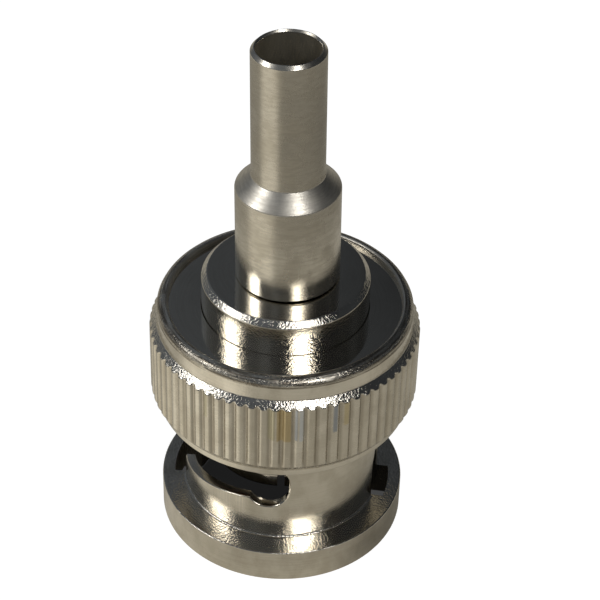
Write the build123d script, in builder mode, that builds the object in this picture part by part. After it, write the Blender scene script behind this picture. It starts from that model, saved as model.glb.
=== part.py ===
from build123d import *
import os
from math import cos, pi, radians, sin

os.makedirs("parts", exist_ok=True)

# Bayonet coaxial plug for a thin crimped cable, in millimetres.
# The axis is Z. The plug stands on its mating face at z = 0, and the cable leaves upwards.

# Clearances between pieces, each on the radius unless it says otherwise
running_gap = 0.08  # pieces that turn or slide in each other
push_gap = 0.01  # metal pushed into metal
dielectric_gap = 0.02  # insulators in their bores and on the pin
ring_gap = 0.15  # loose rings in the spring chamber
crest_gap = 0.02  # along Z, wave crests from what they press on
braid_room = 0.25  # between the crimp neck and the ferrule, taken by the cable's braid

# Coupling nut, walls and steps on the radius, from its bore outwards
bore_diameter = 9.8
neck_wall = 0.53
entry_depth = 1.15  # from the bore to the bottom of an entry groove
entry_wall = 0.7  # flange left outside an entry groove
shoulder_width = 1.2  # from the bore out to the spring chamber
washer_seat_depth = 0.28  # from the chamber out to the rear washer's edge
rim_lip_width = 0.16  # cover of the rim over the rear washer
band_wall = 0.75  # round the chamber
knurl_step = 0.4  # from the band out to the grip ring
lip_step = 0.44  # from the grip ring in to the lip below it

# Coupling nut, along the axis
nut_flange_height = 2.03
neck_length = 5.95
lip_height = 0.94
knurl_shoulder_height = 0.4
band_height = 1.31
bore_mouth_chamfer = 0.3
mating_depth = 10.5
rim_lip_thickness = 0.34
rim_roll_height = 0.73  # height over which the rim is rolled in
rim_roll_corner = 0.23  # its corner, in from the band and down from the rim
flute_count = 72
flute_width = 0.4
flute_depth = 0.16

# Bayonet: a stud rides in through the entry groove, along the ramp and into the detent
entry_width = 2.45
entry_angle = 172
entry_height = 3.15
ramp_turn = 90
ramp_width = 2.3
ramp_top_height = 5.9
detent_diameter = 2.4
detent_drop = 0.47  # from the top of the ramp back into the detent
stud_count = 2

# Rings in the chamber behind the nut's shoulder
rear_washer_thickness = 0.6
thrust_washer_thickness = 0.25
wave_height = 1.02
wave_strip = 0.2
wave_count = 3

# Plug body
body_flange_thickness = 0.8
body_wall = 0.42  # round the outer contact's socket
disc_height = 2.06
disc_chamfer = 0.3
neck_bore_diameter = 2.0
neck_groove_count = 2
neck_groove_depth = 0.12
neck_groove_pitch = 1.8
neck_nose_chamfer = 0.25
back_wall = 1.25
rear_insulator_diameter = 4.56

# Outer contact, a slotted spring sleeve
barrel_room = 0.85  # round it, for the wall of the jack's barrel
contact_wall = 0.5
contact_reach = 5.3
contact_tail = 1.2
contact_bead_length = 0.9
contact_relief = 0.12
contact_slot_count = 4
contact_slot_width = 0.4
contact_slot_length = 4.4

# Gasket, insulators and centre pin
gasket_thickness = 0.8
insulator_wall = 1.11
insulator_recess = 0.3
insulator_web = 2.0
insulator_mouth_chamfer = 0.15
pin_diameter = 1.35
pin_recess = 0.5
pin_nose_length = 0.6
pin_nose_diameter = 0.6
pin_barrel_diameter = 1.6
pin_barrel_length = 3.0
solder_hole_diameter = 0.6
solder_hole_depth = 2.2
solder_window_diameter = 0.4

# Crimp ferrule
ferrule_diameter = 5.5
ferrule_wall = 0.3
ferrule_length = 5.53
ferrule_tube_diameter = 3.82
ferrule_tube_length = 7.22
ferrule_edge_chamfer = 0.08
ferrule_shoulder_chamfer = 0.2
ferrule_top_gap = 0.55

# Radii
bore_radius = bore_diameter / 2
neck_radius = bore_radius + neck_wall
entry_radius = bore_radius + entry_depth
nut_flange_radius = entry_radius + entry_wall
chamber_radius = bore_radius + shoulder_width
washer_radius = chamber_radius + washer_seat_depth
rim_bore_radius = washer_radius - rim_lip_width
band_radius = chamber_radius + band_wall
knurl_radius = band_radius + knurl_step
lip_radius = knurl_radius - lip_step
contact_radius = bore_radius - barrel_room
contact_bore_radius = contact_radius - contact_wall
insulator_radius = contact_bore_radius - dielectric_gap
disc_radius = contact_radius + body_wall
pin_radius = pin_diameter / 2
barrel_radius = pin_barrel_diameter / 2
ferrule_radius = ferrule_diameter / 2
ferrule_bore_radius = ferrule_radius - ferrule_wall
tube_radius = ferrule_tube_diameter / 2
crimp_neck_radius = ferrule_bore_radius - braid_room

# Heights, from the mating face up
lip_z = nut_flange_height + neck_length
knurl_bottom_z = lip_z + lip_height
body_flange_top_z = mating_depth + body_flange_thickness
thrust_top_z = body_flange_top_z + thrust_washer_thickness
washer_bottom_z = thrust_top_z + 2 * wave_height
washer_top_z = washer_bottom_z + rear_washer_thickness
rim_z = washer_top_z + rim_lip_thickness
shoulder_top_z = rim_z - band_height
knurl_top_z = shoulder_top_z - knurl_shoulder_height
disc_top_z = washer_top_z + disc_height
gasket_front_z = mating_depth - gasket_thickness
contact_front_z = gasket_front_z - contact_reach
socket_top_z = mating_depth + contact_tail
insulator_front_z = contact_front_z + insulator_recess
web_front_z = socket_top_z - insulator_web
pin_front_z = contact_front_z + pin_recess
barrel_top_z = socket_top_z + pin_barrel_length
rear_insulator_top_z = disc_top_z - back_wall
shoulder_z = disc_top_z + ferrule_length
crimp_neck_top_z = shoulder_z - ferrule_top_gap
tube_foot_z = shoulder_z + ferrule_radius - tube_radius
ferrule_top_z = tube_foot_z + ferrule_tube_length


def ramp_point(share, radius, start_angle):
    """Point on the centre line of a bayonet ramp, which eases off towards its top."""
    angle = radians(start_angle + ramp_turn * share)
    height = ramp_top_height - (ramp_top_height - entry_height) * (1 - share) ** 2
    return Vector(radius * cos(angle), radius * sin(angle), height)


def ramp_line(radius, start_angle):
    """Centre line of a bayonet ramp on a cylinder of the given radius."""
    stations = 12
    return Spline(*[ramp_point(i / stations, radius, start_angle) for i in range(stations + 1)])


def radial_plane(angle, height):
    """Plane square to the radius at an angle, with its x along the wall and its y up."""
    out = Vector(cos(radians(angle)), sin(radians(angle)), 0)
    along = Vector(-sin(radians(angle)), cos(radians(angle)), 0)
    return Plane(origin=(0, 0, height), x_dir=along, z_dir=out)


# Coupling nut: turned profile first, then the flutes, grooves, ramps and detents
ramp_inner_radius = bore_radius - neck_wall
ramp_outer_radius = neck_radius + neck_wall / 2
ramp_middle_radius = (ramp_inner_radius + ramp_outer_radius) / 2

with BuildPart() as coupling_nut:
    with BuildSketch(Plane.XZ):
        with BuildLine():
            Polyline(
                (rim_bore_radius, rim_z),
                (band_radius - rim_roll_corner, rim_z - rim_roll_corner),
                (band_radius, rim_z - rim_roll_height),
                (band_radius, shoulder_top_z),
                (knurl_radius, knurl_top_z),
                (knurl_radius, knurl_bottom_z),
                (lip_radius, lip_z),
                (neck_radius, lip_z),
                (neck_radius, nut_flange_height),
                (nut_flange_radius, nut_flange_height),
                (nut_flange_radius, 0),
                (bore_radius + bore_mouth_chamfer, 0),
                (bore_radius, bore_mouth_chamfer),
                (bore_radius, mating_depth),
                (chamber_radius, mating_depth),
                (chamber_radius, washer_bottom_z),
                (washer_radius + push_gap, washer_bottom_z),
                (washer_radius + push_gap, washer_top_z),
                (rim_bore_radius, washer_top_z),
                close=True,
            )
        make_face()
    revolve(axis=Axis.Z)

    with BuildSketch(Plane.XY.offset(knurl_bottom_z)):
        with PolarLocations(knurl_radius, flute_count, start_angle=180 / flute_count):
            Polygon(
                (0, flute_width / 2),
                (-flute_depth, 0),
                (0, -flute_width / 2),
                (flute_depth, -flute_width / 2),
                (flute_depth, flute_width / 2),
                align=None,
            )
    extrude(amount=shoulder_top_z - knurl_bottom_z, mode=Mode.SUBTRACT)

    for stud in range(stud_count):
        start_angle = entry_angle + 360 / stud_count * stud
        with BuildSketch(Plane.XY):
            with Locations(Rotation(0, 0, start_angle) * Location((entry_radius / 2, 0))):
                Rectangle(entry_radius, entry_width, rotation=start_angle)
            Circle(entry_radius, mode=Mode.INTERSECT)
        extrude(amount=entry_height, mode=Mode.SUBTRACT)

        with BuildSketch(radial_plane(start_angle, entry_height)):
            Circle(entry_width / 2)
        extrude(amount=ramp_outer_radius, mode=Mode.SUBTRACT)

        with BuildLine() as ramp:
            ramp_line(ramp_middle_radius, start_angle)
        with BuildLine(mode=Mode.PRIVATE) as guide:
            ramp_line(2 * ramp_outer_radius, start_angle)
        ramp_start = ramp_point(0, ramp_middle_radius, start_angle)
        ramp_out = Vector(ramp_start.X, ramp_start.Y, 0)
        with BuildSketch(Plane(ramp_start, x_dir=ramp_out, z_dir=ramp.line % 0)):
            Rectangle(ramp_outer_radius - ramp_inner_radius, ramp_width)
        sweep(path=ramp.line, binormal=guide.line.edge(), mode=Mode.SUBTRACT)

        with BuildSketch(radial_plane(start_angle + ramp_turn, ramp_top_height - detent_drop / 2)):
            SlotCenterToCenter(detent_drop, detent_diameter, rotation=90)
        extrude(amount=ramp_outer_radius, mode=Mode.SUBTRACT)

coupling_nut.part.label = "coupling_nut"
export_step(coupling_nut.part, "parts/coupling_nut.step")


# Rings behind the nut's shoulder: the washer that closes the nut, and the thrust washer
with BuildPart() as rear_washer:
    with BuildSketch(Plane.XY.offset(washer_bottom_z)):
        Circle(washer_radius)
        Circle(disc_radius + running_gap, mode=Mode.SUBTRACT)
    extrude(amount=rear_washer_thickness)
rear_washer.part.label = "rear_washer"
export_step(rear_washer.part, "parts/rear_washer.step")

with BuildPart() as thrust_washer:
    with BuildSketch(Plane.XY.offset(body_flange_top_z)):
        Circle(chamber_radius - ring_gap)
        Circle(disc_radius + ring_gap, mode=Mode.SUBTRACT)
    extrude(amount=thrust_washer_thickness)
thrust_washer.part.label = "thrust_washer"
export_step(thrust_washer.part, "parts/thrust_washer.step")


# Wave washers: strips that rise and fall round the ring and meet crest to crest
def wave_line(radius, bottom_z, sign):
    """Closed lower edge of a wave on a cylinder, with a crest at angle 0 if sign is 1."""
    rise = (wave_height - wave_strip) / 2 - crest_gap
    middle_z = bottom_z + crest_gap + rise
    stations = 6 * wave_count
    points = []
    for station in range(stations):
        angle = 2 * pi * station / stations
        height = middle_z + sign * rise * cos(wave_count * angle)
        points.append((radius * cos(angle), radius * sin(angle), height))
    return Spline(*points, periodic=True)


wave_washers = []
for bottom_z, sign in ((thrust_top_z, 1), (thrust_top_z + wave_height, -1)):
    inner_edge = wave_line(disc_radius + ring_gap, bottom_z, sign).edge()
    outer_edge = wave_line(chamber_radius - ring_gap, bottom_z, sign).edge()
    with BuildPart() as wave_washer:
        under_face = Face.make_surface_from_curves(outer_edge, inner_edge)
        thicken(under_face, amount=wave_strip)
    wave_washers.append(wave_washer.part)

for wave_washer, label in zip(wave_washers, ("front_wave_washer", "rear_wave_washer")):
    wave_washer.label = label
    export_step(wave_washer, f"parts/{label}.step")

# Plug body: crimp neck, disc, barrel and thrust flange, bored for the insulators
with BuildPart() as plug_body:
    with BuildSketch(Plane.XZ):
        with BuildLine():
            Polyline(
                (neck_bore_diameter / 2, crimp_neck_top_z),
                (crimp_neck_radius - neck_nose_chamfer, crimp_neck_top_z),
                (crimp_neck_radius, crimp_neck_top_z - neck_nose_chamfer),
                (crimp_neck_radius, disc_top_z),
                (disc_radius - disc_chamfer, disc_top_z),
                (disc_radius, disc_top_z - disc_chamfer),
                (disc_radius, body_flange_top_z),
                (chamber_radius - running_gap, body_flange_top_z),
                (chamber_radius - running_gap, mating_depth),
                (contact_radius + push_gap, mating_depth),
                (contact_radius + push_gap, socket_top_z),
                (rear_insulator_diameter / 2 + dielectric_gap, socket_top_z),
                (rear_insulator_diameter / 2 + dielectric_gap, rear_insulator_top_z),
                (neck_bore_diameter / 2, rear_insulator_top_z),
                close=True,
            )
        make_face()
        with Locations((crimp_neck_radius, (disc_top_z + crimp_neck_top_z) / 2)):
            with GridLocations(0, neck_groove_pitch, 1, neck_groove_count):
                Polygon(
                    (0, neck_groove_depth),
                    (-neck_groove_depth, 0),
                    (0, -neck_groove_depth),
                    align=None,
                    mode=Mode.SUBTRACT,
                )
    revolve(axis=Axis.Z)
plug_body.part.label = "plug_body"
export_step(plug_body.part, "parts/plug_body.step")

# Outer contact: sleeve with a bead at its tip, sawn into spring fingers
relief_radius = contact_radius - contact_relief
bead_top_z = contact_front_z + contact_bead_length

with BuildPart() as outer_contact:
    with BuildSketch(Plane.XZ):
        with BuildLine():
            Polyline(
                (contact_bore_radius, contact_front_z),
                (relief_radius, contact_front_z),
                (contact_radius, contact_front_z + contact_relief),
                (contact_radius, bead_top_z),
                (relief_radius, bead_top_z + contact_relief),
                (relief_radius, gasket_front_z),
                (contact_radius, gasket_front_z),
                (contact_radius, socket_top_z),
                (contact_bore_radius, socket_top_z),
                close=True,
            )
        make_face()
    revolve(axis=Axis.Z)
    with BuildSketch(Plane.XY.offset(contact_front_z)):
        with PolarLocations(contact_radius - contact_wall / 2, contact_slot_count):
            Rectangle(2 * contact_wall, contact_slot_width)
    extrude(amount=contact_slot_length, mode=Mode.SUBTRACT)
outer_contact.part.label = "outer_contact"
export_step(outer_contact.part, "parts/outer_contact.step")

# Gasket on the body's face, round the outer contact
with BuildPart() as gasket:
    with BuildSketch(Plane.XY.offset(gasket_front_z)):
        Circle(bore_radius - ring_gap)
        Circle(contact_radius + dielectric_gap, mode=Mode.SUBTRACT)
    extrude(amount=gasket_thickness)
gasket.part.label = "gasket"
export_step(gasket.part, "parts/gasket.step")

# Insulators: a cup in the outer contact and a sleeve in the body
with BuildPart() as front_insulator:
    with BuildSketch(Plane.XY.offset(insulator_front_z)):
        Circle(insulator_radius)
        Circle(insulator_radius - insulator_wall, mode=Mode.SUBTRACT)
    extrude(amount=web_front_z - insulator_front_z)
    with BuildSketch(Plane.XY.offset(web_front_z)):
        Circle(insulator_radius)
        Circle(pin_radius + dielectric_gap, mode=Mode.SUBTRACT)
    extrude(amount=insulator_web)
    cup_mouth = front_insulator.edges().group_by(Axis.Z)[0].sort_by(SortBy.RADIUS)[0]
    chamfer(cup_mouth, insulator_mouth_chamfer)
front_insulator.part.label = "front_insulator"
export_step(front_insulator.part, "parts/front_insulator.step")

with BuildPart() as rear_insulator:
    with BuildSketch(Plane.XY.offset(socket_top_z)):
        Circle(rear_insulator_diameter / 2)
        Circle(barrel_radius + dielectric_gap, mode=Mode.SUBTRACT)
    extrude(amount=rear_insulator_top_z - socket_top_z)
rear_insulator.part.label = "rear_insulator"
export_step(rear_insulator.part, "parts/rear_insulator.step")

# Centre pin: blunt-nosed pin and a wider barrel with a solder hole and its window
with BuildPart() as centre_pin:
    with BuildSketch(Plane.XZ):
        with BuildLine():
            Polyline(
                (0, pin_front_z),
                (pin_nose_diameter / 2, pin_front_z),
                (pin_radius, pin_front_z + pin_nose_length),
                (pin_radius, socket_top_z),
                (barrel_radius, socket_top_z),
                (barrel_radius, barrel_top_z),
                (solder_hole_diameter / 2, barrel_top_z),
                (solder_hole_diameter / 2, barrel_top_z - solder_hole_depth),
                (0, barrel_top_z - solder_hole_depth),
                close=True,
            )
        make_face()
    revolve(axis=Axis.Z)
    with BuildSketch(Plane.XZ):
        with Locations((0, barrel_top_z - solder_hole_depth + solder_window_diameter / 2)):
            Circle(solder_window_diameter / 2)
    extrude(amount=barrel_radius, mode=Mode.SUBTRACT)
centre_pin.part.label = "centre_pin"
export_step(centre_pin.part, "parts/centre_pin.step")

# Crimp ferrule: thin stepped sleeve of one wall thickness, standing on the disc
with BuildPart() as crimp_ferrule:
    with BuildSketch(Plane.XZ):
        with BuildLine():
            Polyline(
                (ferrule_radius, disc_top_z),
                (ferrule_radius, shoulder_z),
                (tube_radius, tube_foot_z),
                (tube_radius, ferrule_top_z),
            )
            offset(amount=ferrule_wall, side=Side.LEFT, kind=Kind.INTERSECTION)
        make_face()
    revolve(axis=Axis.Z)
    circles = crimp_ferrule.edges().filter_by(GeomType.CIRCLE)
    shoulder_edge = circles.group_by(SortBy.RADIUS)[-1].sort_by(Axis.Z)[-1]
    chamfer(shoulder_edge, ferrule_shoulder_chamfer)
    rims = crimp_ferrule.edges().filter_by(GeomType.CIRCLE).group_by(Axis.Z)
    outer_rims = [rims[end].sort_by(SortBy.RADIUS)[-1] for end in (0, -1)]
    chamfer(outer_rims, ferrule_edge_chamfer)
crimp_ferrule.part.label = "crimp_ferrule"
export_step(crimp_ferrule.part, "parts/crimp_ferrule.step")
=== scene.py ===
import random
from math import asin, atan2, cos, pi, radians, sin, sqrt

import bmesh
import bpy
from mathutils import Matrix, Vector


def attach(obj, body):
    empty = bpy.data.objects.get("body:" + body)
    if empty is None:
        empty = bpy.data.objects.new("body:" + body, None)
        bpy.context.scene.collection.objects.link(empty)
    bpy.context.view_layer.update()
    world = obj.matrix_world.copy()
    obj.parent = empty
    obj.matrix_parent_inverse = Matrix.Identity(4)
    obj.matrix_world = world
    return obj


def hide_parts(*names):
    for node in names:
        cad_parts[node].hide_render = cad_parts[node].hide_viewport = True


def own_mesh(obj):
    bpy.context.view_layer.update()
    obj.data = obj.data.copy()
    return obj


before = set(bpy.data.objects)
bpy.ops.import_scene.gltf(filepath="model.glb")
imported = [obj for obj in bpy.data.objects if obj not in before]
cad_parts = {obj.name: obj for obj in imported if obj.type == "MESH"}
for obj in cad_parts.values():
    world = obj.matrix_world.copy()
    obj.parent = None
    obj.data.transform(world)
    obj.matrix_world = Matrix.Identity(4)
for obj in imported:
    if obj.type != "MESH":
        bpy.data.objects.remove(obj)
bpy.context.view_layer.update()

# Bayonet coaxial plug. Pieces are turned in millimetres and brought to metres when they are done.
# A size named after a form alone is its radius. TOP, BOTTOM, FRONT, FOOT, SHOULDER and MATING_DEPTH
# are heights above the mating face.
MM = 0.001
SEAM = 0.0005  # distance within which corners are merged
ROUNDING_STEPS = 4

# Coupling nut
BORE = 4.9
NECK = 5.43
FLANGE = 6.75
FLANGE_TOP = 2.03
LIP = 6.84
LIP_BOTTOM = 7.98
LIP_TOP = 8.35
KNURL = 7.25
KNURL_BOTTOM = 8.92
KNURL_TOP = 12.82
BAND = 6.85
SHOULDER_TOP = 13.22
BORE_CHAMFER = 0.3
RIM_ROLL = 0.5
RIM_ROLL_HEIGHT = 14.0
RIM_ROLL_STEPS = 6
RIM_BORE = 6.22
RIM_EDGE = 0.14
MATING_DEPTH = 10.5
CHAMBER = 6.1
FLUTES = 72
FLUTE_STEPS = 10
FLUTE_DEPTH = 0.16
FLUTE_REACH = 0.23
SHALLOWEST_FLUTE = 0.82  # share of the depth, so that the grip ring looks worn
# Corners added along the two cones of the grip ring, where the flutes run out
LOWER_CONE = (0.4, 0.5, 0.6, 0.7, 0.8, 0.9)
UPPER_CONE = (0.16, 0.24, 0.32, 0.41)

# Bayonet slots, angles in degrees
ENTRY_ANGLE = 172
ENTRY_WIDTH = 2.45
ENTRY_HEIGHT = 4.2
ENTRY_DEPTH = 6.05
RAMP_TURN = 90
RAMP_WIDTH = 2.3
RAMP_TOP = 5.9
RAMP_EASE = 1.5
DETENT_WIDTH = 2.4
DETENT_HEIGHT = 5.43
SLOT_EDGE = 0.08
CUTTER_INSIDE = 0.3  # how far the cutter reaches into the bore
CUTTER_OUTSIDE = 0.16  # and out of the neck

# Rear washer, body, contact and insulators
WASHER = 6.38
WASHER_BOTTOM = 13.59
WASHER_TOP = 14.19
PRESS_ROOM = 0.01  # round pieces that are pressed in
PLAY = 0.02  # round pieces that are slipped in
DISC = 4.47
DISC_TOP = 16.25
DISC_CHAMFER = 0.3
BODY_FLANGE = 6.02
BODY_FLANGE_TOP = 11.3
CONTACT = 4.05
CONTACT_FRONT = 4.4
CONTACT_BORE = 3.55
CONTACT_BEAD = 0.9
CONTACT_STEP = 0.12
CONTACT_SLOT = (1.5, 0.4, 5.4)  # cut between two fingers, across, wide and high
CONTACT_SLOT_DEPTH = 0.25
CONTACT_SLOT_HEIGHT = 1.7
SOCKET_TOP = 11.7
GASKET = 4.75
GASKET_FRONT = 9.7
CUP_WALL = 1.13
CUP_FRONT = 4.7
REAR_INSULATOR = 2.3
REAR_INSULATOR_TOP = 15.0
CRIMP_NECK = 2.2
CRIMP_NECK_TOP = 21.23
CRIMP_NECK_CHAMFER = 0.25
CRIMP_RINGS = 10
CRIMP_RING_START = 0.9
CRIMP_RING_PITCH = 0.4
CRIMP_RING_DEPTH = 0.1
NECK_BORE = 1.0

# Centre pin
PIN = 0.675
PIN_FRONT = 4.9
PIN_POINT = 0.3
PIN_POINT_LENGTH = 0.6
PIN_BARREL = 0.8
PIN_BARREL_TOP = 14.7
SOLDER_HOLE = 0.3
SOLDER_HOLE_BOTTOM = 12.5
SOLDER_WINDOW = 0.2
SOLDER_WINDOW_HEIGHT = 12.7

# Springs
THRUST_TOP = 11.55
WAVES = 3
WAVE_HEIGHT = 1.02
WAVE_STRIP = 0.2
WAVE_GAP = 0.02
SPRING_BORE = 4.62
SPRING = 5.95

# Ferrule
FERRULE = 2.75
FERRULE_WALL = 0.3
FERRULE_SHOULDER = 21.7
TUBE = 1.91
TUBE_FOOT = 22.54
FERRULE_TOP = 29.84
HALF_BEND = 0.4142  # tangent of half the cone's 45 degrees
# Bevels of the tube's mouth, across and down
MOUTH_OUTSIDE = (0.18, 0.19)
MOUTH_INSIDE = (0.09, 0.12)
# Lean in degrees, and shift to the right and lift that keep the foot out of the disc
LEAN_LEFT = 0.75
LEAN_BACK = 0.64
FERRULE_SHIFT = 0.09
FERRULE_LIFT = 0.045

# Camera, in millimetres and radians
LENS = 121.756
CAMERA_PLACE = (0.77444, -83.94757, 81.89963)
CAMERA_TILT = pi / 2 - 0.67782
CAMERA_ROLL = 0.02703
LIGHT_AIM = 12  # height the lights point at

# Table: nearer and farther distance from the axis in millimetres, and the brightness at each. All rows are
# painted light and shade on the table: the first two paint shade under the plug's flange and in its bore, the
# others paint the light and shadow that the metal mirrors.
SHADE_UNDER_FLANGE = (6.2, 6.5, 0, 1)
SHADE_UNDER_BORE = (5.0, 5.2, 0.012, 0.06)
TABLE_CLOSE = (10, 18, -0.08, 0)
TABLE_NEAR = (24, 36, 0.64, 0.27)
TABLE_HORIZON = (45, 80, 0, 0.3)
TABLE_DAYLIGHT = (6, 18, 0.08, 0.6)
TABLE_BEHIND = (28, 34, 0, 0.14)
TABLE_SHADOW = (7.5, 10, -0.3, 0)
# Ways over the table, each with the cosines between which what lies there fades in
DAYLIGHT_WAY = ((-0.848, -0.53, 0), 0.8, 0.97)
BEHIND_WAY = ((-0.5, 0.866, 0), 0, 0.8)
SHADOW_WAY = ((0.985, -0.174, 0), 0.5, 0.95)
TABLE_TINT = (1, 0.94, 0.8)
TABLE_GREY = (0.3, 0.3, 0.3)
TABLE_EVEN = 0.35
TABLE_WHITE = 0.95

# Room: brightness of its dark and pale parts, and factor on the left and on the right
ROOM_DARK = 0.025
ROOM_PALE = 0.11
ROOM_LEFT = 1.95
ROOM_RIGHT = 0.65

# Nickel finishes, as numbers of a piece's material slots
SATIN, MIRROR, KNURLED, DULL, SPECKLED, ROLLED, POLISHED, BRUSHED = range(8)


# Camera, lights and floor
def place_camera():
    """Camera where the photograph was taken from, a little above the plug."""
    data = bpy.data.cameras.new("camera")
    data.sensor_width = 36
    data.lens = LENS
    data.clip_start = 0.01
    camera = bpy.data.objects.new("camera", data)
    bpy.context.scene.collection.objects.link(camera)
    place = Matrix.Translation(Vector(CAMERA_PLACE) * MM)
    camera.matrix_world = place @ Matrix.Rotation(CAMERA_TILT, 4, "X") @ Matrix.Rotation(CAMERA_ROLL, 4, "Z")
    bpy.context.scene.camera = camera


def softbox(name, azimuth, elevation, distance, width, height, radiance, roll):
    """Soft rectangular light aimed at the plug, at an azimuth from the front towards the right."""
    data = bpy.data.lights.new(name, "AREA")
    data.shape = "RECTANGLE"
    data.size, data.size_y = width, height
    data.energy = radiance * pi * width * height
    light = bpy.data.objects.new(name, data)
    bpy.context.scene.collection.objects.link(light)
    across, up = radians(azimuth), radians(elevation)
    way = Vector((cos(up) * sin(across), -cos(up) * cos(across), sin(up)))
    place = Matrix.Translation(way * distance + Vector((0, 0, LIGHT_AIM * MM)))
    aim = way.to_track_quat("Z", "Y").to_matrix().to_4x4()
    light.matrix_world = place @ aim @ Matrix.Rotation(radians(roll), 4, "Z")


def by_distance(tree, reach, stops, smooth=False):
    """Brightness that changes between two distances from the axis."""
    start, end, low, high = stops
    return ramp(tree, reach, start * MM, end * MM, low, high, smooth)


def towards(tree, way, direction, start, end):
    """Share that rises as the way from the axis turns towards a direction."""
    facing = add(tree, "ShaderNodeVectorMath", operation="DOT_PRODUCT", _0=way, _1=direction)
    return ramp(tree, facing.outputs["Value"], start, end, smooth=True)


def table_light(tree, way, reach):
    """Painted light and shade of the table in the metal: brighter by the window, behind and at the horizon,
    darker close to the plug and in its painted shadow.
    """
    near = by_distance(tree, reach, TABLE_NEAR, smooth=True)
    near = maths(tree, "ADD", near, by_distance(tree, reach, TABLE_CLOSE))
    behind = maths(tree, "MULTIPLY", towards(tree, way, *BEHIND_WAY), by_distance(tree, reach, TABLE_BEHIND))
    near = maths(tree, "ADD", near, behind)
    daylight = by_distance(tree, reach, TABLE_DAYLIGHT, smooth=True)
    daylight = maths(tree, "MULTIPLY", towards(tree, way, *DAYLIGHT_WAY), daylight)
    shadow = maths(tree, "MULTIPLY", towards(tree, way, *SHADOW_WAY), by_distance(tree, reach, TABLE_SHADOW))
    level = maths(tree, "ADD", near, by_distance(tree, reach, TABLE_HORIZON))
    return maths(tree, "ADD", level, maths(tree, "ADD", daylight, shadow))


def table_top():
    """Pale table: even and white for the camera apart from painted shade under the plug; in the metal, painted
    light and shade make it brighter towards the window, and it glows a little.
    """
    material = bpy.data.materials.new("table_top")
    material.use_nodes = True
    tree = material.node_tree
    tree.nodes.clear()
    place = add(tree, "ShaderNodeTexCoord").outputs["Object"]
    reach = add(tree, "ShaderNodeVectorMath", operation="LENGTH", _0=place).outputs["Value"]
    way = add(tree, "ShaderNodeVectorMath", operation="NORMALIZE", _0=place).outputs[0]
    # Painted shade: the table is darkened under the plug's flange and inside its bore, for the camera and in
    # the metal.
    outside = by_distance(tree, reach, SHADE_UNDER_FLANGE)
    outside = maths(tree, "MAXIMUM", outside, by_distance(tree, reach, SHADE_UNDER_BORE))
    warm = scaled(tree, TABLE_TINT, maths(tree, "MULTIPLY", table_light(tree, way, reach), outside))
    lit = add(tree, "ShaderNodeBsdfDiffuse", Color=warm)
    even = add(tree, "ShaderNodeEmission", Color=warm, Strength=TABLE_EVEN)
    mirrored = add(tree, "ShaderNodeAddShader", _0=lit.outputs[0], _1=even.outputs[0])
    seen = add(tree, "ShaderNodeBsdfDiffuse", Color=scaled(tree, TABLE_GREY, outside))
    glow = add(tree, "ShaderNodeEmission", Strength=maths(tree, "MULTIPLY", outside, TABLE_WHITE))
    lifted = add(tree, "ShaderNodeAddShader", _0=seen.outputs[0], _1=glow.outputs[0])
    path = add(tree, "ShaderNodeLightPath")
    both = add(tree, "ShaderNodeMixShader", _0=path.outputs["Is Camera Ray"], _1=mirrored.outputs[0],
               _2=lifted.outputs[0])
    add(tree, "ShaderNodeOutputMaterial", Surface=both.outputs[0])
    return material


def lay_floor():
    """Table under the plug, for the picture."""
    bpy.ops.object.select_all(action="DESELECT")
    bpy.ops.mesh.primitive_plane_add(size=4)
    floor = bpy.context.object
    floor.name = "floor"
    floor.data.materials.append(table_top())


def light_room():
    """Dim bluish room for the metal to mirror, white where the camera looks past the table."""
    world = bpy.data.worlds.new("room")
    bpy.context.scene.world = world
    world.use_nodes = True
    tree = world.node_tree
    tree.nodes.clear()
    path = add(tree, "ShaderNodeLightPath")
    way = add(tree, "ShaderNodeTexCoord").outputs["Generated"]
    clouds = add(tree, "ShaderNodeTexNoise", Vector=way, Scale=3.5, Detail=3).outputs[0]
    dim = ramp(tree, clouds, 0.3, 0.7, ROOM_DARK, ROOM_PALE)
    side = add(tree, "ShaderNodeSeparateXYZ", _0=way).outputs[0]
    dim = maths(tree, "MULTIPLY", dim, ramp(tree, side, -0.12, 0.12, ROOM_LEFT, ROOM_RIGHT))
    tint = blend_colours(tree, clouds, (0.8, 0.86, 0.95), (0.7, 0.82, 1))
    strength = ramp(tree, path.outputs["Is Camera Ray"], 0, 1, dim, 1)
    room = add(tree, "ShaderNodeBackground", Color=tint, Strength=strength)
    add(tree, "ShaderNodeOutputWorld", Surface=room.outputs[0])
    softbox("window_left", azimuth=-76, elevation=37, distance=0.4, width=0.125, height=0.09,
            radiance=9, roll=-20)
    softbox("window_right", azimuth=26, elevation=45, distance=0.4, width=0.14, height=0.08,
            radiance=12, roll=40)
    bpy.context.scene.view_settings.view_transform = "Standard"


# Nodes
def add(tree, kind, **settings):
    """Adds a node. A setting is a property of it, or an input by name or, as _0, by its number."""
    made = tree.nodes.new(kind)
    for name, value in settings.items():
        if hasattr(made, name):
            setattr(made, name, value)
            continue
        socket = made.inputs[int(name[1:])] if name.startswith("_") else made.inputs[name.replace("_", " ")]
        if isinstance(value, bpy.types.NodeSocket):
            tree.links.new(value, socket)
        else:
            socket.default_value = value
    return made


def maths(tree, operation, *values):
    """Result of a maths node."""
    inputs = {f"_{number}": value for number, value in enumerate(values)}
    return add(tree, "ShaderNodeMath", operation=operation, **inputs).outputs[0]


def ramp(tree, value, start, end, low=0, high=1, smooth=False):
    """Low up to the start, high from the end on, and in proportion between them."""
    kind = "SMOOTHSTEP" if smooth else "LINEAR"
    return add(tree, "ShaderNodeMapRange", interpolation_type=kind, Value=value,
               _1=start, _2=end, _3=low, _4=high).outputs[0]


def scaled(tree, vector, factor):
    """Vector or colour times a factor."""
    return add(tree, "ShaderNodeVectorMath", operation="SCALE", _0=vector, Scale=factor).outputs[0]


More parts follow.
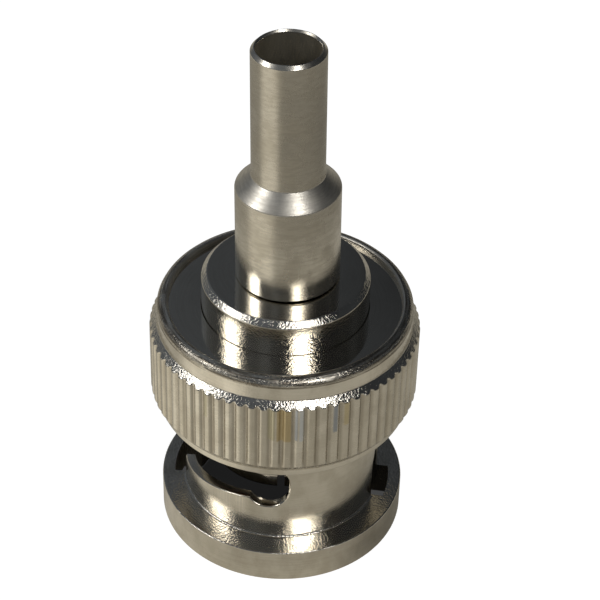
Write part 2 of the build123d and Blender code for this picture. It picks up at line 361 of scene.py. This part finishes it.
def group(name, inputs, outputs):
    """Empty node group with number sockets, and its input and output sockets."""
    tree = bpy.data.node_groups.new(name, "ShaderNodeTree")
    for socket in inputs:
        tree.interface.new_socket(socket, in_out="INPUT", socket_type="NodeSocketFloat")
    for socket in outputs:
        kind = "NodeSocketVector" if socket == "Place" else "NodeSocketFloat"
        tree.interface.new_socket(socket, in_out="OUTPUT", socket_type=kind)
    return tree, tree.nodes.new("NodeGroupInput").outputs, tree.nodes.new("NodeGroupOutput").inputs


def use(tree, effect, **settings):
    """Places a node group in a material and returns its outputs."""
    return add(tree, "ShaderNodeGroup", node_tree=effect, **settings).outputs


# Turned pieces
def between(start, end, shares):
    """Plain corners on the straight line from one corner to another."""
    return [(start[0] + (end[0] - start[0]) * s, start[1] + (end[1] - start[1]) * s, 0) for s in shares]


def choose(piece, wanted):
    """Selects, in edit mode, the vertices whose place is wanted."""
    mesh = bmesh.from_edit_mesh(piece.data)
    for vertex in mesh.verts:
        vertex.select_set(wanted(vertex.co))
    mesh.select_flush_mode()
    bmesh.update_edit_mesh(piece.data)


def turned(name, corners, steps=360):
    """Piece turned round the Z axis from a closed outline, with corners of (radius, height, rounding)."""
    bpy.ops.object.select_all(action="DESELECT")
    bpy.ops.mesh.primitive_plane_add(size=1)
    piece = bpy.context.object
    piece.name = piece.data.name = name
    bpy.ops.object.mode_set(mode="EDIT")
    bpy.ops.mesh.merge(type="CENTER")
    bpy.ops.transform.translate(value=(corners[0][0], 0, corners[0][1]))
    for here, there in zip(corners, corners[1:] + corners[:1]):
        step = (there[0] - here[0], 0, there[1] - here[1])
        bpy.ops.mesh.extrude_vertices_move(TRANSFORM_OT_translate={"value": step})
    bpy.ops.mesh.select_all(action="SELECT")
    bpy.ops.mesh.remove_doubles(threshold=SEAM)
    for r, z, rounding in corners:
        if rounding:
            choose(piece, lambda co: (co - Vector((r, 0, z))).length < 2 * SEAM)
            bpy.ops.mesh.bevel(affect="VERTICES", offset=rounding, segments=ROUNDING_STEPS)
    bpy.ops.mesh.select_all(action="SELECT")
    bpy.ops.mesh.spin(steps=steps // 8, angle=pi / 4, center=(0, 0, 0), axis=(0, 0, 1))
    for turn in (pi / 4, pi / 2, pi):
        bpy.ops.mesh.select_all(action="SELECT")
        bpy.ops.mesh.duplicate()
        turn_selected(turn)
    close_shell()
    bpy.ops.object.mode_set(mode="OBJECT")
    return piece


def turn_selected(angle, axis="Z", height=0):
    """Turns what is selected in edit mode, about a point on the plug's axis."""
    bpy.ops.transform.rotate(value=angle, orient_axis=axis, center_override=(0, 0, height))


def close_shell():
    """Merges seams and poles in edit mode, and turns all faces outwards."""
    bpy.ops.mesh.select_all(action="SELECT")
    bpy.ops.mesh.remove_doubles(threshold=SEAM)
    bpy.ops.mesh.normals_make_consistent(inside=False)


def pick(piece):
    """Selects this piece alone."""
    bpy.ops.object.select_all(action="DESELECT")
    piece.select_set(True)
    bpy.context.view_layer.objects.active = piece


def cut(piece, cutters):
    """Takes the cutters out of a piece."""
    tray = bpy.data.collections.new("cutters")
    for cutter in cutters:
        tray.objects.link(cutter)
    pick(piece)
    modifier = piece.modifiers.new("cut", "BOOLEAN")
    modifier.operation = "DIFFERENCE"
    modifier.solver = "MANIFOLD"
    modifier.operand_type = "COLLECTION"
    modifier.collection = tray
    bpy.ops.object.modifier_apply(modifier=modifier.name)
    for cutter in cutters:
        bpy.data.objects.remove(cutter)
    bpy.data.collections.remove(tray)


def nickel_side(face):
    """Which nickel finish a face has, by its place and the way it faces."""
    place, normal = face.center, face.normal
    radius = sqrt(place.x ** 2 + place.y ** 2)
    outward = (normal.x * place.x + normal.y * place.y) / radius
    if radius > BAND + 0.1 and LIP_TOP < place.z < KNURL_TOP + 0.01 and outward > 0.5:
        return KNURLED
    if place.z > WASHER_TOP and RIM_BORE - 0.1 < radius < KNURL:
        return BRUSHED if radius < RIM_BORE + 0.12 else ROLLED
    if place.z > FERRULE_TOP - 0.2:
        return SATIN
    if DISC_TOP < place.z < DISC_TOP + 0.2 and 0 < outward < 0.95:
        return POLISHED
    if outward < -0.3:
        return DULL
    if FLANGE_TOP < place.z < LIP_BOTTOM and BORE < radius < NECK:
        return SATIN
    if LIP_BOTTOM - 0.1 < place.z < KNURL_BOTTOM + 0.05 and radius > NECK + 0.1:
        return SATIN
    if place.z > RIM_ROLL_HEIGHT - 0.2 and radius > RIM_BORE - 0.1:
        return ROLLED
    if abs(normal.z) > 0.98 or abs(outward) < 0.1:
        return POLISHED if place.z < FLANGE_TOP + 0.1 else MIRROR
    return SATIN if outward > 0.95 else SPECKLED


def body_side(face):
    """As nickel_side, with the disc polished all round."""
    side = nickel_side(face)
    return POLISHED if side == SATIN and face.center.z < DISC_TOP else side


def finish_piece(piece, body, nodes, materials, side=None, smooth_angle=40):
    """Smooths and dresses a piece, brings it to metres and hands it to the frame."""
    pick(piece)
    bpy.ops.object.shade_smooth_by_angle(angle=radians(smooth_angle))
    modifier = piece.modifiers.new("flats", "WEIGHTED_NORMAL")
    modifier.keep_sharp = True
    bpy.ops.object.modifier_apply(modifier=modifier.name)
    piece.data.materials.clear()
    for material in materials:
        piece.data.materials.append(material)
    if side:
        for face in piece.data.polygons:
            face.material_index = side(face)
    piece.scale = (MM, MM, MM)
    bpy.ops.object.transform_apply(location=False, rotation=False, scale=True)
    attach(piece, body)
    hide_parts(*nodes)


# Coupling nut
def cut_flutes(piece):
    """Presses the flutes of the grip ring in, each a little unlike its neighbours."""
    chance = random.Random(4)
    wear = [chance.uniform(SHALLOWEST_FLUTE, 1.0) for _ in range(FLUTES)]
    pitch = 2 * pi / FLUTES
    for vertex in piece.data.vertices:
        radius = sqrt(vertex.co.x ** 2 + vertex.co.y ** 2)
        if radius < BAND or not LIP_BOTTOM < vertex.co.z < SHOULDER_TOP:
            continue
        turn = atan2(vertex.co.y, vertex.co.x) / pitch
        off = abs(turn - round(turn)) * pitch * KNURL
        if off >= FLUTE_REACH:
            continue
        depth = wear[round(turn) % FLUTES] * FLUTE_DEPTH * (1 + cos(pi * off / FLUTE_REACH)) / 2
        if radius > KNURL - depth:
            vertex.co.x *= (KNURL - depth) / radius
            vertex.co.y *= (KNURL - depth) / radius


def entry_place(share, side, growth, radius):
    """Angle and height on the outline of the upright mouth of a slot."""
    half = ENTRY_WIDTH / 2 + growth
    across = -half * cos(pi * share)
    height = ENTRY_HEIGHT + half * sin(pi * share) if side > 0 else FLANGE_TOP + 0.01
    return asin(across / radius), height


def ramp_place(share, side, growth, radius):
    """Angle and height on the outline of the ramp, which eases off towards its top."""
    rise = RAMP_TOP - ENTRY_HEIGHT
    height = RAMP_TOP - rise * (1 - share) ** RAMP_EASE
    along = Vector((NECK * radians(RAMP_TURN), RAMP_EASE * rise * (1 - share) ** (RAMP_EASE - 1)))
    across = Vector((-along.y, along.x)).normalized() * side * (RAMP_WIDTH / 2 + growth)
    return radians(RAMP_TURN) * share + across.x / NECK, height + across.y


def detent_place(share, side, growth, radius):
    """Angle and height on the outline of the pocket at the end of a slot."""
    half = DETENT_WIDTH / 2 + growth
    across = -half * cos(pi * share)
    height = (RAMP_TOP if side > 0 else DETENT_HEIGHT) + side * half * sin(pi * share)
    return radians(RAMP_TURN) + asin(across / radius), height


def slot_cutter(place, columns):
    """Cutter wrapped round the neck, grown outside it so that the slot's edge comes out broken."""
    layers = ((BORE - CUTTER_INSIDE, 0), (NECK - SLOT_EDGE, 0),
              (NECK + CUTTER_OUTSIDE, SLOT_EDGE + CUTTER_OUTSIDE))
    bpy.ops.object.select_all(action="DESELECT")
    bpy.ops.mesh.primitive_grid_add(x_subdivisions=columns, y_subdivisions=1, size=1)
    cutter = bpy.context.object
    bpy.ops.object.mode_set(mode="EDIT")
    for _ in layers[1:]:
        bpy.ops.mesh.extrude_region_move(TRANSFORM_OT_translate={"value": (0, 0, 1)})
    bpy.ops.object.mode_set(mode="OBJECT")
    for vertex in cutter.data.vertices:
        radius, growth = layers[round(vertex.co.z)]
        side = 1 if vertex.co.y > 0 else -1
        angle, height = place(vertex.co.x + 0.5, side, growth, radius)
        vertex.co = (radius * cos(angle), radius * sin(angle), height)
    bpy.ops.object.mode_set(mode="EDIT")
    close_shell()
    turn_selected(-radians(ENTRY_ANGLE))
    bpy.ops.object.mode_set(mode="OBJECT")
    return cutter


def opposite(cutter):
    """Copy of a cutter, half a turn round the axis."""
    pick(cutter)
    bpy.ops.object.duplicate()
    bpy.ops.object.mode_set(mode="EDIT")
    bpy.ops.mesh.select_all(action="SELECT")
    turn_selected(pi)
    bpy.ops.object.mode_set(mode="OBJECT")
    return bpy.context.object


def entry_groove_cutter():
    """Slab with round ends that cuts both entry grooves through the front flange."""
    bpy.ops.object.select_all(action="DESELECT")
    bpy.ops.mesh.primitive_cylinder_add(vertices=360, radius=ENTRY_DEPTH, depth=4, location=(0, 0, 1))
    cutter = bpy.context.object
    way = Vector((-sin(radians(ENTRY_ANGLE)), cos(radians(ENTRY_ANGLE)), 0))
    bpy.ops.object.mode_set(mode="EDIT")
    for side in (1, -1):
        bpy.ops.mesh.select_all(action="SELECT")
        point = way * side * ENTRY_WIDTH / 2
        bpy.ops.mesh.bisect(plane_co=point, plane_no=way * side, use_fill=True, clear_outer=True)
    close_shell()
    bpy.ops.object.mode_set(mode="OBJECT")
    return cutter


def coupling_nut_outline():
    """Half section of the nut, from the mating face up its outside and down its inside."""
    across = RIM_BORE - BAND + RIM_ROLL
    up = sqrt(RIM_ROLL ** 2 - across ** 2)
    steps = [atan2(up, across) * i / RIM_ROLL_STEPS for i in range(RIM_ROLL_STEPS)]
    rim = [(BAND - RIM_ROLL + RIM_ROLL * cos(turn), RIM_ROLL_HEIGHT + RIM_ROLL * sin(turn), 0)
           for turn in steps]
    return [
        (BORE + BORE_CHAMFER, 0, 0.05), (FLANGE, 0, 0.08), (FLANGE, FLANGE_TOP, 0.08), (NECK, FLANGE_TOP, 0.12),
        (NECK, LIP_BOTTOM, 0.05), (LIP, LIP_BOTTOM, 0.06), (LIP, LIP_TOP, 0.03),
        *between((LIP, LIP_TOP), (KNURL, KNURL_BOTTOM), LOWER_CONE),
        (KNURL, KNURL_BOTTOM, 0.05), (KNURL, KNURL_TOP, 0.04),
        *between((KNURL, KNURL_TOP), (BAND, SHOULDER_TOP), UPPER_CONE),
        (BAND, SHOULDER_TOP, 0.04), *rim, (RIM_BORE, RIM_ROLL_HEIGHT + up, RIM_EDGE),
        (RIM_BORE, WASHER_TOP, 0), (WASHER + PRESS_ROOM, WASHER_TOP, 0),
        (WASHER + PRESS_ROOM, WASHER_BOTTOM, 0), (CHAMBER, WASHER_BOTTOM, 0), (CHAMBER, MATING_DEPTH, 0.1),
        (BORE, MATING_DEPTH, 0.05), (BORE, BORE_CHAMFER, 0.05)]


def make_coupling_nut():
    """Nut with its grip ring, both entry grooves and both bayonet slots."""
    nut = turned("coupling_nut_shell", coupling_nut_outline(), steps=FLUTES * FLUTE_STEPS)
    cut_flutes(nut)
    slot = [slot_cutter(entry_place, columns=24), slot_cutter(ramp_place, columns=40),
            slot_cutter(detent_place, columns=24)]
    cut(nut, [entry_groove_cutter(), *slot, *[opposite(cutter) for cutter in slot]])
    finish_piece(nut, "coupling_nut", ["coupling_nut"], NICKEL_FINISHES, nickel_side, smooth_angle=50)


# Rings
def ring(name, bore, edge, bottom, top, rounding, body, nodes, material):
    """Plain flat ring or sleeve."""
    outline = [(bore, bottom, rounding), (edge, bottom, rounding), (edge, top, rounding), (bore, top, rounding)]
    finish_piece(turned(name, outline), body, nodes, [material])


def make_wave_washer(name, bottom, sign, node):
    """Ring of strip, waved round, which on the real plug shortens as the nut slides."""
    rise = (WAVE_HEIGHT - WAVE_STRIP) / 2 - WAVE_GAP
    low = bottom + WAVE_GAP + rise
    washer = turned(name, [
        (SPRING_BORE, low, 0.04), (SPRING, low, 0.04),
        (SPRING, low + WAVE_STRIP, 0.04), (SPRING_BORE, low + WAVE_STRIP, 0.04)], steps=184)
    for vertex in washer.data.vertices:
        vertex.co.z += sign * rise * cos(WAVES * atan2(vertex.co.y, vertex.co.x))
    finish_piece(washer, "coupling_nut", [node], [spring])
    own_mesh(washer)


# Body, contact, pin and ferrule
def make_plug_body():
    """Disc, barrel and thrust flange, with the ringed crimp neck under the ferrule."""
    rings = []
    for i in range(CRIMP_RINGS):
        z = CRIMP_NECK_TOP - CRIMP_RING_START - CRIMP_RING_PITCH * i
        rings += [(CRIMP_NECK, z + CRIMP_RING_DEPTH, 0), (CRIMP_NECK - CRIMP_RING_DEPTH, z, 0),
                  (CRIMP_NECK, z - CRIMP_RING_DEPTH, 0)]
    outline = [
        (NECK_BORE, CRIMP_NECK_TOP, 0.05), (CRIMP_NECK - CRIMP_NECK_CHAMFER, CRIMP_NECK_TOP, 0.05),
        (CRIMP_NECK, CRIMP_NECK_TOP - CRIMP_NECK_CHAMFER, 0.05), *rings, (CRIMP_NECK, DISC_TOP, 0.05),
        (DISC - DISC_CHAMFER, DISC_TOP, 0.04), (DISC, DISC_TOP - DISC_CHAMFER, 0.04),
        (DISC, BODY_FLANGE_TOP, 0.05), (BODY_FLANGE, BODY_FLANGE_TOP, 0.05), (BODY_FLANGE, MATING_DEPTH, 0.05),
        (CONTACT + PRESS_ROOM, MATING_DEPTH, 0), (CONTACT + PRESS_ROOM, SOCKET_TOP, 0),
        (REAR_INSULATOR, SOCKET_TOP, 0), (REAR_INSULATOR, REAR_INSULATOR_TOP, 0),
        (NECK_BORE, REAR_INSULATOR_TOP, 0)]
    body = turned("body_shell", outline)
    finish_piece(body, "plug_body", ["plug_body"], NICKEL_FINISHES, body_side)


def make_outer_contact():
    """Spring sleeve with a bead at its tip, slit into four fingers."""
    thin, bead_end = CONTACT - CONTACT_STEP, CONTACT_FRONT + CONTACT_BEAD
    outline = [
        (CONTACT_BORE, CONTACT_FRONT, 0.06), (thin, CONTACT_FRONT, 0.04),
        (CONTACT, CONTACT_FRONT + CONTACT_STEP, 0.08), (CONTACT, bead_end, 0.1),
        (thin, bead_end + CONTACT_STEP, 0.1), (thin, GASKET_FRONT, 0),
        (CONTACT, GASKET_FRONT, 0), (CONTACT, SOCKET_TOP, 0.05), (CONTACT_BORE, SOCKET_TOP, 0.05)]
    contact = turned("contact_fingers", outline)
    place = (CONTACT - CONTACT_SLOT_DEPTH, 0, CONTACT_FRONT + CONTACT_SLOT_HEIGHT)
    saws = []
    for angle in (0, 90, 180, 270):
        bpy.ops.object.select_all(action="DESELECT")
        bpy.ops.mesh.primitive_cube_add(size=1)
        saw = bpy.context.object
        bpy.ops.object.mode_set(mode="EDIT")
        bpy.ops.transform.resize(value=CONTACT_SLOT)
        bpy.ops.transform.translate(value=place)
        turn_selected(radians(angle))
        bpy.ops.object.mode_set(mode="OBJECT")
        saws.append(saw)
    cut(contact, saws)
    finish_piece(contact, "plug_body", ["outer_contact"], [satin])


def make_front_insulator():
    """Cup round the pin, open towards the mating face."""
    outer, cup, bore = CONTACT_BORE - PLAY, CONTACT_BORE - CUP_WALL, PIN + PLAY
    outline = [
        (cup + 0.1, CUP_FRONT, 0.05), (outer, CUP_FRONT, 0.1), (outer, SOCKET_TOP, 0), (bore, SOCKET_TOP, 0),
        (bore, GASKET_FRONT, 0.08), (cup, GASKET_FRONT, 0.15), (cup, CUP_FRONT + 0.12, 0.08)]
    insulator = turned("front_insulator_cup", outline, steps=184)
    finish_piece(insulator, "plug_body", ["front_insulator"], [white])


def make_centre_pin():
    """Pin with its solder barrel, which has a small window."""
    outline = [
        (0, PIN_FRONT, 0), (PIN_POINT, PIN_FRONT, 0.1), (PIN, PIN_FRONT + PIN_POINT_LENGTH, 0.4),
        (PIN, SOCKET_TOP, 0), (PIN_BARREL, SOCKET_TOP, 0.03), (PIN_BARREL, PIN_BARREL_TOP, 0.05),
        (SOLDER_HOLE, PIN_BARREL_TOP, 0.04), (SOLDER_HOLE, SOLDER_HOLE_BOTTOM, 0), (0, SOLDER_HOLE_BOTTOM, 0)]
    pin = turned("centre_pin_turned", outline, steps=96)
    bpy.ops.object.select_all(action="DESELECT")
    bpy.ops.mesh.primitive_cylinder_add(
        vertices=32, radius=SOLDER_WINDOW, depth=1, location=(0, -0.5, SOLDER_WINDOW_HEIGHT),
        rotation=(pi / 2, 0, 0))
    cut(pin, [bpy.context.object])
    finish_piece(pin, "plug_body", ["centre_pin"], [gold])


def lean(ferrule):
    """Leans the ferrule as it stands in the photograph, loose on its neck."""
    bpy.ops.object.mode_set(mode="EDIT")
    bpy.ops.mesh.select_all(action="SELECT")
    for angle, axis in ((LEAN_LEFT, "Y"), (LEAN_BACK, "X")):
        turn_selected(radians(angle), axis, DISC_TOP)
    bpy.ops.transform.translate(value=(FERRULE_SHIFT, 0, FERRULE_LIFT))
    bpy.ops.object.mode_set(mode="OBJECT")


def make_ferrule():
    """Stepped sleeve that is slipped over the crimp neck."""
    inner, inner_tube = FERRULE - FERRULE_WALL, TUBE - FERRULE_WALL
    drop = FERRULE_WALL * HALF_BEND
    (outside, outside_drop), (inside, inside_drop) = MOUTH_OUTSIDE, MOUTH_INSIDE
    outline = [
        (inner, DISC_TOP, 0.05), (FERRULE, DISC_TOP, 0.1), (FERRULE, FERRULE_SHOULDER, 0.06),
        (TUBE, TUBE_FOOT, 0.05), (TUBE, FERRULE_TOP - outside_drop, 0.03), (TUBE - outside, FERRULE_TOP, 0.02),
        (inner_tube + inside, FERRULE_TOP, 0.02), (inner_tube, FERRULE_TOP - inside_drop, 0.03),
        (inner_tube, TUBE_FOOT - drop, 0.2), (inner, FERRULE_SHOULDER - drop, 0.2)]
    ferrule = turned("ferrule_sleeve", outline)
    lean(ferrule)
    finish_piece(ferrule, "plug_body", ["crimp_ferrule"], SLEEVE_FINISHES, nickel_side)


# Effects, shared by the finishes
def turning_place():
    """Place in millimetres, and as radius, turn and height round the axis."""
    tree, _, out = group("turning_place", [], ["Place", "Radius", "Turn", "Height"])
    place = scaled(tree, add(tree, "ShaderNodeTexCoord").outputs["Object"], 1 / MM)
    x, y, z = add(tree, "ShaderNodeSeparateXYZ", _0=place).outputs
    squares = maths(tree, "ADD", maths(tree, "MULTIPLY", x, x), maths(tree, "MULTIPLY", y, y))
    tree.links.new(place, out["Place"])
    tree.links.new(maths(tree, "SQRT", squares), out["Radius"])
    tree.links.new(maths(tree, "ARCTAN2", y, x), out["Turn"])
    tree.links.new(z, out["Height"])
    return tree


def turning_lines():
    """Fine rings left by the cutting tool, along a wall and across a flat alike."""
    tree, given, out = group("turning_lines", ["Fineness"], ["Lines"])
    at = use(tree, place_group)
    across, up = [maths(tree, "MULTIPLY", at[name], given["Fineness"]) for name in ("Radius", "Height")]
    round_it = maths(tree, "MULTIPLY", at["Turn"], 3)
    vector = add(tree, "ShaderNodeCombineXYZ", _0=across, _1=up, _2=round_it).outputs[0]
    noise = add(tree, "ShaderNodeTexNoise", Vector=vector, Scale=1, Detail=3, Roughness=0.6)
    tree.links.new(noise.outputs[0], out["Lines"])
    return tree


def mottling():
    """Soft uneven patches, stretched round the axis or along it."""
    tree, given, out = group("mottling", ["Size", "Stretch", "Grain", "Low", "High"], ["Mottling"])
    at = use(tree, place_group)
    along = maths(tree, "MULTIPLY", given["Size"], given["Stretch"])
    stretch = add(tree, "ShaderNodeCombineXYZ", _0=given["Size"], _1=given["Size"], _2=along).outputs[0]
    vector = add(tree, "ShaderNodeVectorMath", operation="MULTIPLY", _0=at["Place"], _1=stretch).outputs[0]
    noise = add(tree, "ShaderNodeTexNoise", Vector=vector, Scale=1, Detail=4, Roughness=given["Grain"])
    patches = ramp(tree, noise.outputs[0], given["Low"], given["High"], smooth=True)
    tree.links.new(patches, out["Mottling"])
    return tree


def tarnish():
    """Film on the grip ring between two turns, from a height up to the shoulder."""
    tree, given, out = group("tarnish", ["From", "To", "Bottom"], ["Tarnish"])
    at = use(tree, place_group)
    start = ramp(tree, maths(tree, "SUBTRACT", at["Turn"], given["From"]), 0, 0.012)
    end = ramp(tree, maths(tree, "SUBTRACT", given["To"], at["Turn"]), 0, 0.012)
    foot = ramp(tree, maths(tree, "SUBTRACT", at["Height"], given["Bottom"]), 0, 0.1)
    tree.links.new(maths(tree, "MULTIPLY", maths(tree, "MULTIPLY", start, end), foot), out["Tarnish"])
    return tree


# Finishes
def blend_colours(tree, share, first, second):
    """Colour between two, by a share."""
    mix = add(tree, "ShaderNodeMix", data_type="RGBA", _0=share)
    for socket, colour in ((mix.inputs[6], first), (mix.inputs[7], second)):
        if isinstance(colour, bpy.types.NodeSocket):
            tree.links.new(colour, socket)
        else:
            socket.default_value = (*colour, 1)
    return mix.outputs[2]


def surface(name, metallic):
    """New material, with its node tree and shader."""
    material = bpy.data.materials.new(name)
    material.use_nodes = True
    shader = material.node_tree.nodes["Principled BSDF"]
    shader.inputs["Metallic"].default_value = metallic
    return material, material.node_tree, shader


def nickel_finish(name, light, dark, smooth, rough, lines, mottle, specks, fineness=14.0, streaks=0.08):
    """Plated and turned metal. Its colour and roughness range with the mottling, and lines,
    mottle and specks are the microns that each of them stands out."""
    material, tree, shader = surface(name, 1)
    line = use(tree, lines_group, Fineness=fineness)["Lines"]
    soft = use(tree, mottling_group, Size=0.9, Stretch=0.6, Grain=0.55, Low=0.35, High=0.68)["Mottling"]
    fine = use(tree, mottling_group, Size=8.0, Stretch=1.0, Grain=0.5, Low=0.3, High=0.7)["Mottling"]
    streak = ramp(tree, line, 0.42, 0.58, 0, streaks)
    colour = blend_colours(tree, streak, blend_colours(tree, soft, light, dark), STAIN_AND_SHADE)
    tree.links.new(colour, shader.inputs["Base Color"])
    wear = ramp(tree, maths(tree, "ADD", soft, line), 0.2, 1.6, smooth, rough)
    tree.links.new(wear, shader.inputs["Roughness"])
    height = maths(tree, "ADD", maths(tree, "MULTIPLY", line, lines), maths(tree, "MULTIPLY", fine, specks))
    height = maths(tree, "ADD", height, maths(tree, "MULTIPLY", soft, mottle))
    bump = add(tree, "ShaderNodeBump", Strength=1.0, Distance=1e-6, Height=height)
    tree.links.new(bump.outputs[0], shader.inputs["Normal"])
    return material


def knurled_nickel():
    """Grip ring: satin lands that differ a little, painted shade in the flutes' hollows, and the tarnish of the
    photograph.
    """
    material = nickel_finish("knurled_nickel", NICKEL_LIGHT, NICKEL_DARK,
                             smooth=0.2, rough=0.34, lines=0.6, mottle=2.0, specks=0.5)
    tree = material.node_tree
    base = tree.nodes["Principled BSDF"].inputs["Base Color"]
    at = use(tree, place_group)
    land = maths(tree, "FLOOR", maths(tree, "MULTIPLY", at["Turn"], FLUTES / (2 * pi)))
    chance = add(tree, "ShaderNodeTexWhiteNoise", noise_dimensions="1D", W=land).outputs["Value"]
    worn = maths(tree, "MULTIPLY", chance, LAND_WEAR)
    colour = blend_colours(tree, worn, base.links[0].from_socket, LAND_TINT)
    # Painted shade in the hollows of the flutes, above the lower cone, in the stain colour.
    painted_hollow_shade = ramp(tree, at["Radius"], KNURL - 0.12, KNURL - 0.03, 0.4, 0)
    painted_hollow_shade = maths(tree, "MULTIPLY", painted_hollow_shade, ramp(tree, at["Height"], LIP_TOP + 0.25, LIP_TOP + 0.4))
    colour = blend_colours(tree, painted_hollow_shade, colour, STAIN_AND_SHADE)
    for start, end, bottom, tint, strength in TARNISH:
        start, end = radians(start - 90), radians(end - 90)
        film = use(tree, tarnish_group, From=start, To=end, Bottom=bottom)["Tarnish"]
        colour = blend_colours(tree, maths(tree, "MULTIPLY", film, strength), colour, tint)
    tree.links.new(colour, base)
    return material


def drawn_nickel():
    """Ferrule: drawn tube, which is a little smoother towards its foot."""
    material = nickel_finish("drawn_nickel", NICKEL_LIGHT, NICKEL_DARK, smooth=0.2, rough=0.34,
                             lines=2.0, mottle=1.5, specks=0.2, fineness=6.0, streaks=0.16)
    tree = material.node_tree
    roughness = tree.nodes["Principled BSDF"].inputs["Roughness"]
    share = ramp(tree, use(tree, place_group)["Height"], DISC_TOP + 1, DISC_TOP + 3, FOOT_SHARE, 1)
    tree.links.new(maths(tree, "MULTIPLY", roughness.links[0].from_socket, share), roughness)
    return material


def plain_finish(name, metallic, light, dark, smooth, rough, size):
    """Unplated strip, plastic or rubber, mottled and with fine turning lines."""
    material, tree, shader = surface(name, metallic)
    soft = use(tree, mottling_group, Size=size, Stretch=1.0, Grain=0.55, Low=0.3, High=0.7)["Mottling"]
    line = use(tree, lines_group, Fineness=9.0)["Lines"]
    tree.links.new(blend_colours(tree, soft, light, dark), shader.inputs["Base Color"])
    tree.links.new(ramp(tree, line, 0.3, 0.7, smooth, rough), shader.inputs["Roughness"])
    bump = add(tree, "ShaderNodeBump", Strength=1.0, Distance=3e-6, Height=maths(tree, "ADD", line, soft))
    tree.links.new(bump.outputs[0], shader.inputs["Normal"])
    return material


NICKEL_LIGHT = (0.68, 0.64, 0.56)
NICKEL_DARK = (0.58, 0.54, 0.46)
DULL_LIGHT = (0.64, 0.6, 0.5)
DULL_DARK = (0.48, 0.44, 0.35)
# Colour of the stains along the turning lines, and of the painted shade in the flutes' hollows
STAIN_AND_SHADE = (0.2, 0.17, 0.13)
LAND_TINT = (0.42, 0.38, 0.3)
LAND_WEAR = 0.45
FOOT_SHARE = 0.85
# Films on the grip ring: from turn, to turn, lowest height, colour and strength, with the turns
# in degrees from the front
TARNISH = (
    (-6.0, -2.3, 10.75, (0.42, 0.39, 0.27), 0.75), (-2.3, 4.4, 10.68, (0.45, 0.36, 0.2), 0.85),
    (5.2, 7.0, 10.72, (0.3, 0.33, 0.38), 0.8), (7.0, 9.6, 10.68, (0.55, 0.58, 0.62), 0.8),
    (21.2, 23.8, 11.0, (0.26, 0.29, 0.34), 0.8), (26.0, 29.0, 11.3, (0.5, 0.42, 0.24), 0.7),
    (-35.0, -32.0, 11.25, (0.4, 0.37, 0.25), 0.6))

place_group = turning_place()
lines_group = turning_lines()
mottling_group = mottling()
tarnish_group = tarnish()
satin = nickel_finish("satin_nickel", NICKEL_LIGHT, NICKEL_DARK,
                      smooth=0.13, rough=0.25, lines=1.0, mottle=1.5, specks=1.6)
mirror = nickel_finish("mirror_nickel", NICKEL_LIGHT, NICKEL_LIGHT,
                       smooth=0.05, rough=0.1, lines=0.3, mottle=0.6, specks=0.2)
polished = nickel_finish("polished_nickel", NICKEL_LIGHT, NICKEL_DARK,
                         smooth=0.05, rough=0.12, lines=1.2, mottle=2.5, specks=5.0)
knurled = knurled_nickel()
speckled = nickel_finish("speckled_nickel", NICKEL_LIGHT, NICKEL_LIGHT,
                         smooth=0.07, rough=0.15, lines=1.0, mottle=3.0, specks=9.5)
rolled = nickel_finish("rolled_nickel", NICKEL_LIGHT, NICKEL_DARK, smooth=0.18, rough=0.34,
                       lines=24.0, mottle=3.0, specks=9.0, fineness=8.0, streaks=0.9)
dull = nickel_finish("dull_nickel", DULL_LIGHT, DULL_DARK,
                     smooth=0.4, rough=0.6, lines=2.0, mottle=2.0, specks=1.0)
drawn = drawn_nickel()
brushed = nickel_finish("brushed_nickel", NICKEL_LIGHT, NICKEL_LIGHT, smooth=0.34, rough=0.46,
                        lines=6.0, mottle=2.0, specks=0.5, fineness=9.0, streaks=0.2)
# Materials of a piece's slots, in the order of the numbers SATIN to BRUSHED
NICKEL_FINISHES = [satin, mirror, knurled, dull, speckled, rolled, polished, brushed]
SLEEVE_FINISHES = [drawn, brushed, drawn, dull, brushed, drawn, satin]
spring = plain_finish("rolled_strip", 1, (0.55, 0.55, 0.54), (0.45, 0.45, 0.44), 0.2, 0.35, 1.5)
gold = plain_finish("gold_plate", 1, (0.83, 0.64, 0.3), (0.75, 0.56, 0.25), 0.15, 0.3, 1.5)
white = plain_finish("turned_fluoropolymer", 0, (0.9, 0.9, 0.87), (0.84, 0.84, 0.8), 0.35, 0.5, 0.8)
red = plain_finish("moulded_silicone", 0, (0.5, 0.1, 0.07), (0.4, 0.08, 0.05), 0.45, 0.6, 2.0)

place_camera()
light_room()
lay_floor()
make_coupling_nut()
ring("rear_washer_ring", DISC + PLAY, WASHER, WASHER_BOTTOM, WASHER_TOP, 0.03, "coupling_nut",
     ["rear_washer"], mirror)
ring("thrust_ring", SPRING_BORE, SPRING, BODY_FLANGE_TOP, THRUST_TOP, 0.04, "thrust_washer",
     ["thrust_washer"], spring)
ring("gasket_ring", CONTACT + PLAY, GASKET, GASKET_FRONT, MATING_DEPTH, 0.12, "plug_body",
     ["gasket"], red)
ring("rear_insulator_sleeve", PIN_BARREL + PLAY, REAR_INSULATOR - PLAY, SOCKET_TOP, REAR_INSULATOR_TOP, 0.05,
     "plug_body", ["rear_insulator"], white)
make_wave_washer("front_wave", THRUST_TOP + WAVE_GAP, 1, "front_wave_washer")
make_wave_washer("rear_wave", THRUST_TOP + WAVE_HEIGHT, -1, "rear_wave_washer")
make_plug_body()
make_outer_contact()
make_front_insulator()
make_centre_pin()
make_ferrule()
